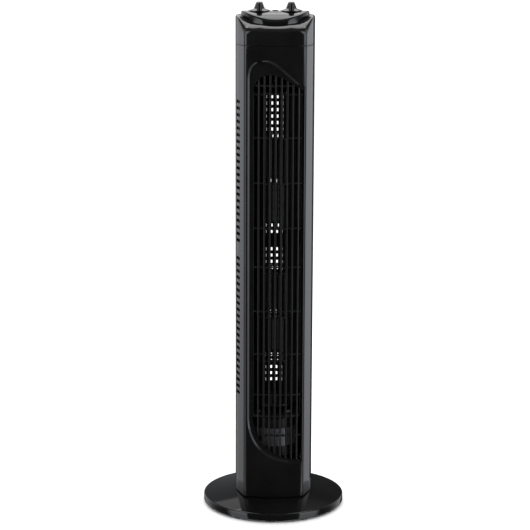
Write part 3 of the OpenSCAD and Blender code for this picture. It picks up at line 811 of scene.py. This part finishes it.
def front_panel(sheet, edge_x):
    """The bulged panel with its recess, out to the rounded corners. Returns the loop of its border."""
    right_steps = 48
    left_low, left_high = RECESS_LEFT_Z
    right_low, right_high = RECESS_RIGHT_Z
    top, bottom = TOWER_Z1 - EDGE_ROLL, TOWER_Z0 + EDGE_ROLL
    left_levels = [left_low, left_low + 14.0] + vent_levels() + [left_high - 16.0, left_high]
    span = [(-edge_x, left_high), (-edge_x, top), (RECESS_CREST[0], top), (edge_x, top),
            (edge_x, right_high), (edge_x, right_low), (edge_x, bottom), (-edge_x, bottom),
            (-edge_x, left_low)]
    steps = TOP_LEFT_STEPS + TOP_RIGHT_STEPS + (right_steps,) + BOTTOM_STEPS
    border = [p for a, b, count in zip(span, span[1:], steps) for p in line(a, b, count)]
    border += [(-edge_x, z) for z in left_levels[:-1]]
    recess = loop_through(RECESS_CURVES, left_levels, right_steps)
    outlet = loop_through(outlet_curves(0.0), left_levels, right_steps)

    above = eased(recess, [min(RAMP_OUT, 0.3 * clearance(point, border)) for point in recess])
    below = []
    for point in recess:
        gap = clearance(point, outlet)
        beside = point[0] - OUTLET_RIGHT
        below.append(min(RAMP_IN, 0.55 * (min(gap, beside) if beside > 0.01 else gap)))
    below = eased(recess, below)
    ramp_top = moved_in(recess, [-distance for distance in above])
    ramp_foot = moved_in(recess, below)
    loops = []
    for i in range(9):
        loops.append([mix(b, r, i / 8) + (0.0,) for b, r in zip(border, ramp_top)])
    for i in range(1, 11):
        depth = RECESS_DEPTH * ramp_depth(i / 10)
        loops.append([mix(a, b, i / 10) + (depth,) for a, b in zip(ramp_top, ramp_foot)])
    for i in range(1, 5):
        loops.append([mix(a, b, i / 4) + (RECESS_DEPTH,) for a, b in zip(ramp_foot, outlet)])
    sheet.loft([[(x, front_y(x, depth), z) for x, z, depth in loop] for loop in loops])
    return border


def front_cover():
    """The front panel with its recess and outlet, and the corner facets with their slots."""
    sheet = Sheet()
    fillet = corner_fillet()
    edge_x = fillet[0][0]
    border = front_panel(sheet, edge_x)
    facet = [fillet[-1]] + side_arc(facet_end()[1], SIDE.y, 6)
    wings = {}
    for side in (-1, 1):
        levels = sorted({round(z, 4) for x, z in border if abs(x - side * edge_x) < 1e-6})
        path = Path([(side * x, y) for x, y in facet])

        def place(s, z, path=path):
            return path.point(s) + (z,)

        for a, b in zip(fillet, fillet[1:]):
            sheet.strip([(side * a[0], a[1], z) for z in levels], [(side * b[0], b[1], z) for z in levels])
        slot = [path.where(lambda x, y, limit=limit: y >= limit) for limit in SIDE_VENT_Y]
        reach = slot[1] - slot[0] - VENT_H
        columns = [slot[0] - 1.5] + [slot[0] + VENT_H / 2 + reach * i / 6 for i in range(7)] + [slot[1] + 1.5]
        before = [columns[0] * i / 3 for i in range(4)]
        after = [columns[-1], path.length]
        slotted_wall(sheet, place, before, columns, after, levels, vent_cells() if side < 0 else [])
        wings[side] = [(side * x, y) for x, y in fillet[1:-1]]
        wings[side] += [path.point(c) for c in before + columns[1:] + after[1:]]
    for z, way in ((TOWER_Z1, 1), (TOWER_Z0, -1)):
        level = z - way * EDGE_ROLL
        row = sorted({x for x, height in border if abs(height - level) < 1e-6})
        rolled_edge(sheet, wings[-1][::-1] + [(x, front_y(x)) for x in row] + wings[1], z, way)
    obj = shell("housing_front", sheet, "front_cover", TOWER_MIDDLE, WALL)
    bake(obj)
    sharpen(obj.data, 30.0)


# ---------- grille ----------

def crossings(points, axis, value):
    """Where a line of points crosses a value of x (axis 0) or z (axis 1), as the other coordinate."""
    hits = []
    for a, b in zip(points, points[1:]):
        if (a[axis] - value) * (b[axis] - value) <= 0 and a[axis] != b[axis]:
            share = (value - a[axis]) / (b[axis] - a[axis])
            hits.append(a[1 - axis] + (b[1 - axis] - a[1 - axis]) * share)
    return hits


def outlet_span(z, grow):
    """Left and right ends of the outlet at height z."""
    top_left, top_right, bottom = outlet_curves(grow)
    points = bezier(top_left, 60) + bezier(top_right, 60) + [top_right[-1]]
    points += bezier(bottom, 60) + [bottom[-1], top_left[0]]
    hits = crossings(points, 1, z)
    return min(hits), max(hits)


def outlet_heights(x, grow):
    """Lower and upper ends of the outlet at x."""
    top_left, top_right, bottom = outlet_curves(grow)
    top = bezier(top_left, 60) + bezier(top_right, 60) + [top_right[-1]]
    low = bezier(bottom, 80) + [bottom[-1]]
    return crossings(low, 0, x)[0], crossings(top, 0, x)[0]


def bar_section(width, front, back, edge=0.7):
    """A bar's cross-section with a rounded front: (across, depth) points."""
    half = width / 2
    points = [(-half, back)]
    for i in range(4):
        a = math.radians(90 * i / 3)
        points.append((-half + edge * (1 - math.cos(a)), front + edge * (1 - math.sin(a))))
    for i in range(4):
        a = math.radians(90 - 90 * i / 3)
        points.append((half - edge * (1 - math.cos(a)), front + edge * (1 - math.sin(a))))
    points.append((half, back))
    return points


def front_grille():
    """The upright bars, the cross bars and the flange round them behind the outlet."""
    sheet = Sheet()
    inset = -0.3
    for i in range(BAR_COUNT):
        x = BAR_FIRST_X + i * BAR_PITCH
        low, high = outlet_heights(x, inset)
        section = bar_section(BAR_W, BAR_FACE, BAR_BACK)
        rings = [[(x + u, front_y(x + u, d), z) for u, d in section] for z in (low + 0.1, high - 0.1)]
        sheet.prism(rings)
    for z in CROSS_Z:
        left, right = outlet_span(z, inset)
        section = bar_section(CROSS_W, BAR_FACE + 0.15, BAR_BACK - 0.2)
        count = max(4, round((right - left) / 3))
        xs = [left + 0.1 + (right - left - 0.2) * i / count for i in range(count + 1)]
        rings = [[(x, front_y(x, d), z + u) for u, d in section] for x in xs]
        sheet.prism(rings)
    flange = []
    low, high = RECESS_LEFT_Z
    levels = [low + (high - low) * i / 40 for i in range(41)]
    for grow, depth in ((-1.2, BAR_BACK), (-1.2, 5.9), (3.0, 5.9), (3.0, BAR_BACK)):
        flange.append([(x, front_y(x, depth), z) for x, z in loop_through(outlet_curves(grow), levels, 40)])
    sheet.loft(flange + flange[:1])
    solid("grille", sheet, 50.0, "tower", "gloss_black", "front_grille")


# ---------- rear cover ----------

def rear_cover():
    """The rounded back with its long slots, the webs behind them, and the screw wells."""
    sheet = Sheet()
    half = rear_half(SIDE.y + GAP)
    ring = [(x, y) for x, y in half] + [(-x, y) for x, y in half[-2::-1]]
    path = Path(ring)

    def place(s, z):
        return path.point(s) + (z,)

    def at_angle(limit):
        return path.where(lambda x, y: math.degrees(math.atan2(y, x)) >= limit)

    slot_start, slot_stop = (at_angle(limit) for limit in REAR_VENT_ANGLES)
    straight = (slot_start + VENT_H / 2, slot_stop - VENT_H / 2)
    count = round((straight[1] - straight[0]) / 3.2)
    reach = straight[1] - straight[0]
    columns = [slot_start - 4.0] + [straight[0] + reach * i / count for i in range(count + 1)]
    columns.append(slot_stop + 2.5)
    before = [columns[0] * i / 26 for i in range(27)]
    after = [columns[-1] + (path.length - columns[-1]) * i / 16 for i in range(17)]
    levels = vent_levels()
    top, bottom = TOWER_Z1 - EDGE_ROLL, TOWER_Z0 + EDGE_ROLL
    plain = [bottom + (levels[0] - bottom) * i / 5 for i in range(5)]
    plain += levels + [levels[-1] + (top - levels[-1]) * i / 3 for i in range(1, 4)]
    slotted_wall(sheet, place, before, columns, after, plain, vent_cells())
    run = [path.point(s) for s in before + columns[1:] + after[1:]]
    rolled_edge(sheet, run, TOWER_Z1, 1)
    rolled_edge(sheet, run, TOWER_Z0, -1)
    obj = shell("housing_rear", sheet, "rear_cover", TOWER_MIDDLE, WALL)
    cuts = Sheet()
    for place_xz in COVER_SCREWS:
        cuts.prism(turned([(2.9, -5.0), (2.9, 70.0)], place_xz, 28, True))
    cuts.prism(turned([(6.05, 40.0), (6.05, 70.0)], (0.0, GLAND_Z), 40, True))
    carve(obj, cuts.mesh("cuts"))
    sharpen(obj.data, 30.0)
    rear_ribs(path)


def rear_ribs(path):
    """The wells of the cover screws and the webs behind the slots, inside the rear cover."""
    inner = Sheet()
    well = [(1.7, -11.7), (4.5, -11.7), (4.5, 29.5), (2.9, 29.5), (2.9, -5.0), (1.7, -5.0), (1.7, -11.7)]
    for place_xz in COVER_SCREWS:
        inner.loft(turned(well, place_xz, 28, True))
    low, high = VENT_Z[0] - 5.0, VENT_Z[1] + VENT_COUNT * VENT_PITCH
    for angle in REAR_RIB_ANGLES:
        s = path.where(lambda x, y, limit=angle: y > 0 and math.degrees(math.atan2(y, x)) >= limit)
        outward = Vector(path.point(s)).normalized()
        across = Vector((-outward.y, outward.x))
        base = Vector(path.point(s))
        corners = [base - outward * depth + across * side for depth, side in
                   ((WALL - 0.3, -1.0), (WALL - 0.3, 1.0), (WALL + 3.5, 1.0), (WALL + 3.5, -1.0))]
        inner.prism([[(c.x, c.y, z) for c in corners] for z in (low, high)])
    solid("rear_ribs", inner, 40.0, "tower", "satin_black")


# ---------- head ----------

def head_outline():
    """Points all the way round the head, from the middle of the front by the right side."""
    fillet = corner_fillet(8)
    count = 22
    right = [(fillet[0][0] * i / count, front_y(fillet[0][0] * i / count)) for i in range(count)]
    right += fillet[:-1] + line(fillet[-1], facet_end(), 16) + rear_half(facet_end()[1])
    return right[:-1] + [(-x, y) for x, y in right[:0:-1]]


def soft_above(value, floor, width):
    """The larger of value and floor, with a smooth change over between them."""
    return floor + width * math.log1p(math.exp(min((value - floor) / width, 60.0)))


def rim_height(y):
    """Height of the head's upper edge: level along the panel, rising over the facets to the shoulders."""
    climb = PANEL_TOP_Z + RIM_SLOPE * soft_above(y - RIM_START, 0.0, 1.6)
    return SHOULDER_Z - soft_above(SHOULDER_Z - climb, 0.0, 0.8)


def plate_reach(angle, grow):
    """Distance from the head's middle to the control plate's outline in a direction."""
    ux, uy = math.cos(angle), math.sin(angle)
    radius = PLATE_R + grow
    along = PLATE_CY * uy
    reach = along + math.sqrt(along * along - PLATE_CY ** 2 + radius * radius)
    if uy > 0:
        reach = min(reach, (PLATE_BACK + grow) / uy)
    return reach


def collar_height(x, y):
    """Height of the collar where it meets the control plate."""
    if y >= 0:
        return SHOULDER_Z
    stops = ((-42.2, 750.3), (-38.7, 752.0), (-26.0, 754.8), (-16.0, 758.2), (-7.0, 762.6), (0.0, SHOULDER_Z))
    for (y0, z0), (y1, z1) in zip(stops, stops[1:]):
        if y <= y1:
            return z0 + (z1 - z0) * max(0.0, (y - y0) / (y1 - y0))
    return SHOULDER_Z


def head_shell():
    """The head: the tower's outline carried up to a rolled rim, and the collar that dips to the plate."""
    sheet = Sheet()
    outline = head_outline()
    loops = [[] for _ in range(33)]
    for x, y in outline:
        rim = rim_height(y)
        angle = math.atan2(y, x)
        reach = plate_reach(angle, 0.2)
        inner = (reach * math.cos(angle), reach * math.sin(angle))
        low = collar_height(*inner)
        across = math.dist((x, y), inner)
        corner_gap = math.dist((abs(x), y), CORNER)
        edge = min(4.2 + 2.5 * math.exp(-(corner_gap / 6.0) ** 2), across * 0.5)
        column = [mix((x, y), (0.0, 0.0), inset / math.hypot(x, y)) + (HEAD_Z0 + lift,)
                  for inset, lift in ((0.4, 0.0), (0.16, 0.1), (0.05, 0.3), (0.0, 0.6))]
        column += [(x, y, z) for z in (HEAD_Z0 + 6.0, (HEAD_Z0 + rim) / 2, rim - edge - 1.0, rim - edge)]

        def collar(t):
            px, py = mix((x, y), inner, t)
            return (px, py, rim + (low - rim) * (t + COLLAR_BULGE * t * (1 - t)))

        turn = edge / across
        start, corner, stop = column[-1], (x, y, collar(turn)[2] - (low - rim) * turn * 1.2), collar(turn)
        for i in range(1, 9):
            t = i / 8
            column.append(tuple(a * (1 - t) ** 2 + b * 2 * t * (1 - t) + c * t * t
                                for a, b, c in zip(start, corner, stop)))
        for i in range(1, 15):
            column.append(collar(turn + (1 - turn) * i / 14))
        for drop in (0.6, 4.0, 8.0):
            column.append(inner + (low - drop,))
        for loop, point in zip(loops, column):
            loop.append(point)
    sheet.loft(loops)
    obj = shell("head_collar", sheet, "head_shell", (0.0, 0.0, 735.0), 2.0)
    bake(obj)
    sharpen(obj.data, 30.0)


def dome_height(y):
    """Height of the control plate, which is curved from front to back."""
    return DOME_Z - DOME_R + math.sqrt(DOME_R * DOME_R - y * y)


def control_plate():
    """The domed plate with the seats for the knobs and the hole for the button."""
    sheet = Sheet()
    count = 144
    edge = 2.6
    loops = []
    angles = [2 * math.pi * i / count for i in range(count)]

    def loop(grow, height):
        points = []
        for a in angles:
            r = plate_reach(a, grow)
            x, y = r * math.cos(a), r * math.sin(a)
            points.append((x, y, height(y)))
        return points

    for share in (0.0, 0.3, 0.65):
        loops.append(loop(0.0, lambda y, share=share: PLATE_FOOT_Z
                          + (dome_height(y) - edge - PLATE_FOOT_Z) * share))
    for i in range(6):
        a = math.radians(90 * i / 5)
        drop = edge * (1 - math.sin(a))
        loops.append(loop(-edge * (1 - math.cos(a)), lambda y, drop=drop: dome_height(y) - drop))
    rings = 26
    for i in range(1, rings):
        t = i / rings
        points = []
        for a in angles:
            r = plate_reach(a, -edge) * (1 - t)
            x, y = r * math.cos(a), r * math.sin(a)
            points.append((x, y, dome_height(y)))
        loops.append(points)
    sheet.loft(loops)
    sheet.face(*loops[-1])
    below = 740.0
    obj = shell("control_dome", sheet, "control_plate", (0.0, 0.0, below), 2.4)
    cuts = Sheet()
    for x, radius, floor in ((-KNOB_X, KNOB_SEAT_R, KNOB_SEAT_Z), (KNOB_X, KNOB_SEAT_R, KNOB_SEAT_Z),
                             (-KNOB_X, 4.0, below), (KNOB_X, 4.0, below), (0.0, BUTTON_R + 0.4, below)):
        cuts.prism(turned([(radius, floor), (radius, 790.0)], (x, 0.0), 72))
    carve(obj, cuts.mesh("cuts"))
    sharpen(obj.data, 35.0)


# ---------- controls ----------

def knob(name, node, body, x):
    """A knob with a conical skirt and a grip bar across it."""
    sheet = Sheet()
    skirt = rounded([(3.2, KNOB_FOOT_Z), (17.0, KNOB_FOOT_Z), (17.0, 770.4), (8.3, 773.2), (5.0, 782.1),
                     (3.4, KNOB_TOP_Z), (0.001, KNOB_TOP_Z)], 0.9)
    sheet.loft(turned(skirt, (x, 0.0), 96))
    # Height, half width and how far the end draws in
    levels = ((769.4, GRIP_R, 0.0), (773.0, 4.22, 0.05), (778.0, 4.1, 0.15), (781.2, 4.0, 0.3),
              (782.0, 3.75, 0.55), (782.5, 3.3, 1.0), (782.7, 2.6, 1.7))
    loops = []
    for z, radius, pull in levels:
        loop = []
        for end in (1, -1):
            middle = end * (GRIP_HALF_L - GRIP_R - pull * 0.5)
            for i in range(13):
                a = math.radians(180 * i / 12) + (0.0 if end > 0 else math.pi)
                loop.append((x + radius * math.cos(a), middle + radius * math.sin(a), z))
        loops.append(loop)
    sheet.prism(loops)
    solid(name, sheet, 38.0, body, "gloss_black", node)


def button():
    """The push button between the knobs, on its stem."""
    sheet = Sheet()
    profile = rounded([(2.0, 759.0), (2.0, 765.0), (BUTTON_R, 765.0), (BUTTON_R, BUTTON_TOP_Z),
                       (0.001, BUTTON_TOP_Z + 0.3)], 0.8)
    profile[-1] = (0.001, BUTTON_TOP_Z)
    loops = turned(profile)
    sheet.loft(loops)
    sheet.face(*loops[0][::-1])
    solid("swing_button", sheet, 38.0, "osc_button", "gloss_black", "osc_button")


def dial_marks():
    """Raised ticks round the knobs, moulded with the plate."""
    sheet = Sheet()

    def tick(cx, angle, r0, r1, width):
        a = math.radians(angle)
        out, across = (math.cos(a), math.sin(a)), (-math.sin(a), math.cos(a))
        corners = [(cx + out[0] * r + across[0] * s, out[1] * r + across[1] * s)
                   for r, s in ((r0, -width), (r1, -width), (r1, width), (r0, width))]
        sheet.prism([[(px, py, dome_height(py) + lift) for px, py in corners] for lift in (-0.3, 0.12)])

    for angle in (90, 45, 0, -45):
        tick(KNOB_X, angle, 18.2, 20.6, 0.45)
    for i in range(11):
        tick(-KNOB_X, 120 - i * 30, 18.2, 20.8 if i % 3 == 1 else 19.8, 0.3)
    solid("dial_marks", sheet, 40.0, "tower", "gloss_black")


# ---------- base ----------

def base_disc():
    """The base: a shallow cone with a flat land, and bosses under it for the feet and the ballast screws."""
    sheet = Sheet()
    profile = rounded([(POST_HOLE_R, LAND_Z - BASE_SKIN), (POST_HOLE_R, LAND_Z), (LAND_R, LAND_Z),
                       (BASE_R, RIM_Z), (BASE_R, FOOT_TOP), (BASE_R - BASE_SKIN, FOOT_TOP),
                       (BASE_R - BASE_SKIN, 14.0 - BASE_SKIN), (LAND_R, LAND_Z - BASE_SKIN),
                       (POST_HOLE_R, LAND_Z - BASE_SKIN)], 2.2, 5)
    profile[0] = profile[-1] = (POST_HOLE_R, LAND_Z - BASE_SKIN)
    sheet.loft(turned(profile, segments=192))
    for x, y, _ in around(FOOT_COUNT, FOOT_RING_R, FOOT_START, 0.0):
        sheet.loft(turned([(0.001, FOOT_TOP), (8.5, FOOT_TOP), (8.5, 13.0)], (x, y), 32))
    for x, y, _ in around(3, BALLAST_RING_R, 30, 0.0):
        sheet.loft(turned([(1.6, 14.0), (1.6, 11.0), (5.0, 11.0), (5.0, 18.0)], (x, y), 32))
    solid("base_cone", sheet, 40.0, "base", "gloss_black", "base_disc")


def feet():
    """Round rubber pads, each with a raised ring to stand on."""
    sheet = Sheet()
    profile = [(0.001, 0.5), (4.6, 0.5), (5.0, 0.0), (6.9, 0.0), (8.0, 1.2), (8.0, FOOT_TOP),
               (0.001, FOOT_TOP)]
    for x, y, _ in around(FOOT_COUNT, FOOT_RING_R, FOOT_START, 0.0):
        sheet.loft(turned(rounded(profile, 0.5), (x, y), 36))
    solid("foot_pads", sheet, 50.0, "base", "rubber", "base_feet")


# ---------- small parts ----------

def pan_screws(name, node, body, places, head_r, head_h, shank_r, shank_l, axis):
    """Pan-head screws with a cross recess. axis is the way the head faces."""
    sheet = Sheet()
    cross = Sheet()
    profile = [(0.001, -shank_l), (shank_r * 0.6, -shank_l), (shank_r, -shank_l + 1.0), (shank_r, 0.0),
               (head_r, 0.0), (head_r, head_h * 0.45), (head_r * 0.82, head_h * 0.86), (0.001, head_h)]
    for px, py, pz in places:
        def put(p, px=px, py=py, pz=pz):
            u, v, w = p
            if axis == "+Y":
                return (px + u, py + w, pz - v)
            if axis == "-Z":
                return (px + u, py - v, pz - w)
            return (px + u, py + v, pz + w)

        sheet.loft([[put(p) for p in loop] for loop in turned(rounded(profile, 0.3, 2), segments=24)])
        for wide, tall in ((head_r * 0.62, head_r * 0.14), (head_r * 0.14, head_r * 0.62)):
            rings = []
            for w, taper in ((head_h * 0.25, 0.8), (head_h + 0.5, 1.1)):
                corners = ((-1, -1), (1, -1), (1, 1), (-1, 1))
                rings.append([put((x * wide * taper, y * tall * taper, w)) for x, y in corners])
            cross.prism(rings)
    obj = piece(name, sheet.mesh(name), body, "zinc_steel", node)
    carve(obj, cross.mesh("cuts"))
    sharpen(obj.data, 35.0)


def screws():
    """Every set of screws: its places, the head's radius and height, the shank's, and the way it faces."""
    wells = [(x, -5.0, z) for x, z in COVER_SCREWS]
    ballast = around(3, BALLAST_RING_R, 30, 7.0)
    post = around(4, 27.0, 45, 18.5)
    yoke = around(3, 14.5, 30, 32.8)
    ears = [(x, 27.0, 45.2) for x in (-28.0, 28.0)]
    motor = [(x, y, 153.0) for x in (-24.0, 24.0) for y in (-24.0, 24.0)]
    pan_screws("cover_screw_heads", "cover_screws", "tower", wells, 2.7, 2.4, 1.6, 17.0, "+Y")
    pan_screws("ballast_screw_heads", "ballast_screws", "base", ballast, 3.5, 2.0, 1.5, 8.5, "-Z")
    pan_screws("post_screw_heads", "post_screws", "base", post, 3.5, 2.0, 1.7, 4.0, "-Z")
    pan_screws("yoke_screw_heads", "yoke_screws", "base", yoke, 2.8, 1.5, 1.3, 7.0, "+Z")
    pan_screws("swing_motor_screw_heads", "osc_motor_screws", "tower", ears, 2.8, 2.0, 1.3, 9.0, "+Z")
    pan_screws("motor_screw_heads", "motor_screws", "tower", motor, 4.0, 2.0, 2.0, 13.0, "+Z")


def gland():
    """The rubber gland, ribbed outside, that the mains lead would pass through."""
    sheet = Sheet()
    profile = [(3.6, 46.5), (6.0, 46.5), (6.0, 54.4), (8.5, 54.5), (8.5, 55.6), (7.9, 57.0), (4.4, 57.0),
               (3.6, 56.4), (3.6, 46.5)]
    sheet.loft(turned(rounded(profile, 0.4), (0.0, GLAND_Z), 48, True))
    solid("lead_gland", sheet, 45.0, "tower", "rubber", "cord_gland")


def finish_cad_nodes():
    """Gives every CAD node that still shows its material."""
    slots = {part["node"]: part["material_slot"] for part in frame["record"]["subparts"]}
    for name, node in frame["nodes"].items():
        node.data.materials.clear()
        node.data.materials.append(materials[slots[name]])


add_camera()
add_world()
materials = {slot: make(slot, *numbers) for make, slot, *numbers in MATERIALS}
add_floor()
add_lights()
front_cover()
front_grille()
rear_cover()
head_shell()
control_plate()
knob("speed_grip", "speed_knob", "speed_knob", KNOB_X)
knob("timer_grip", "timer_knob", "timer_knob", -KNOB_X)
button()
dial_marks()
base_disc()
feet()
screws()
gland()
finish_cad_nodes()
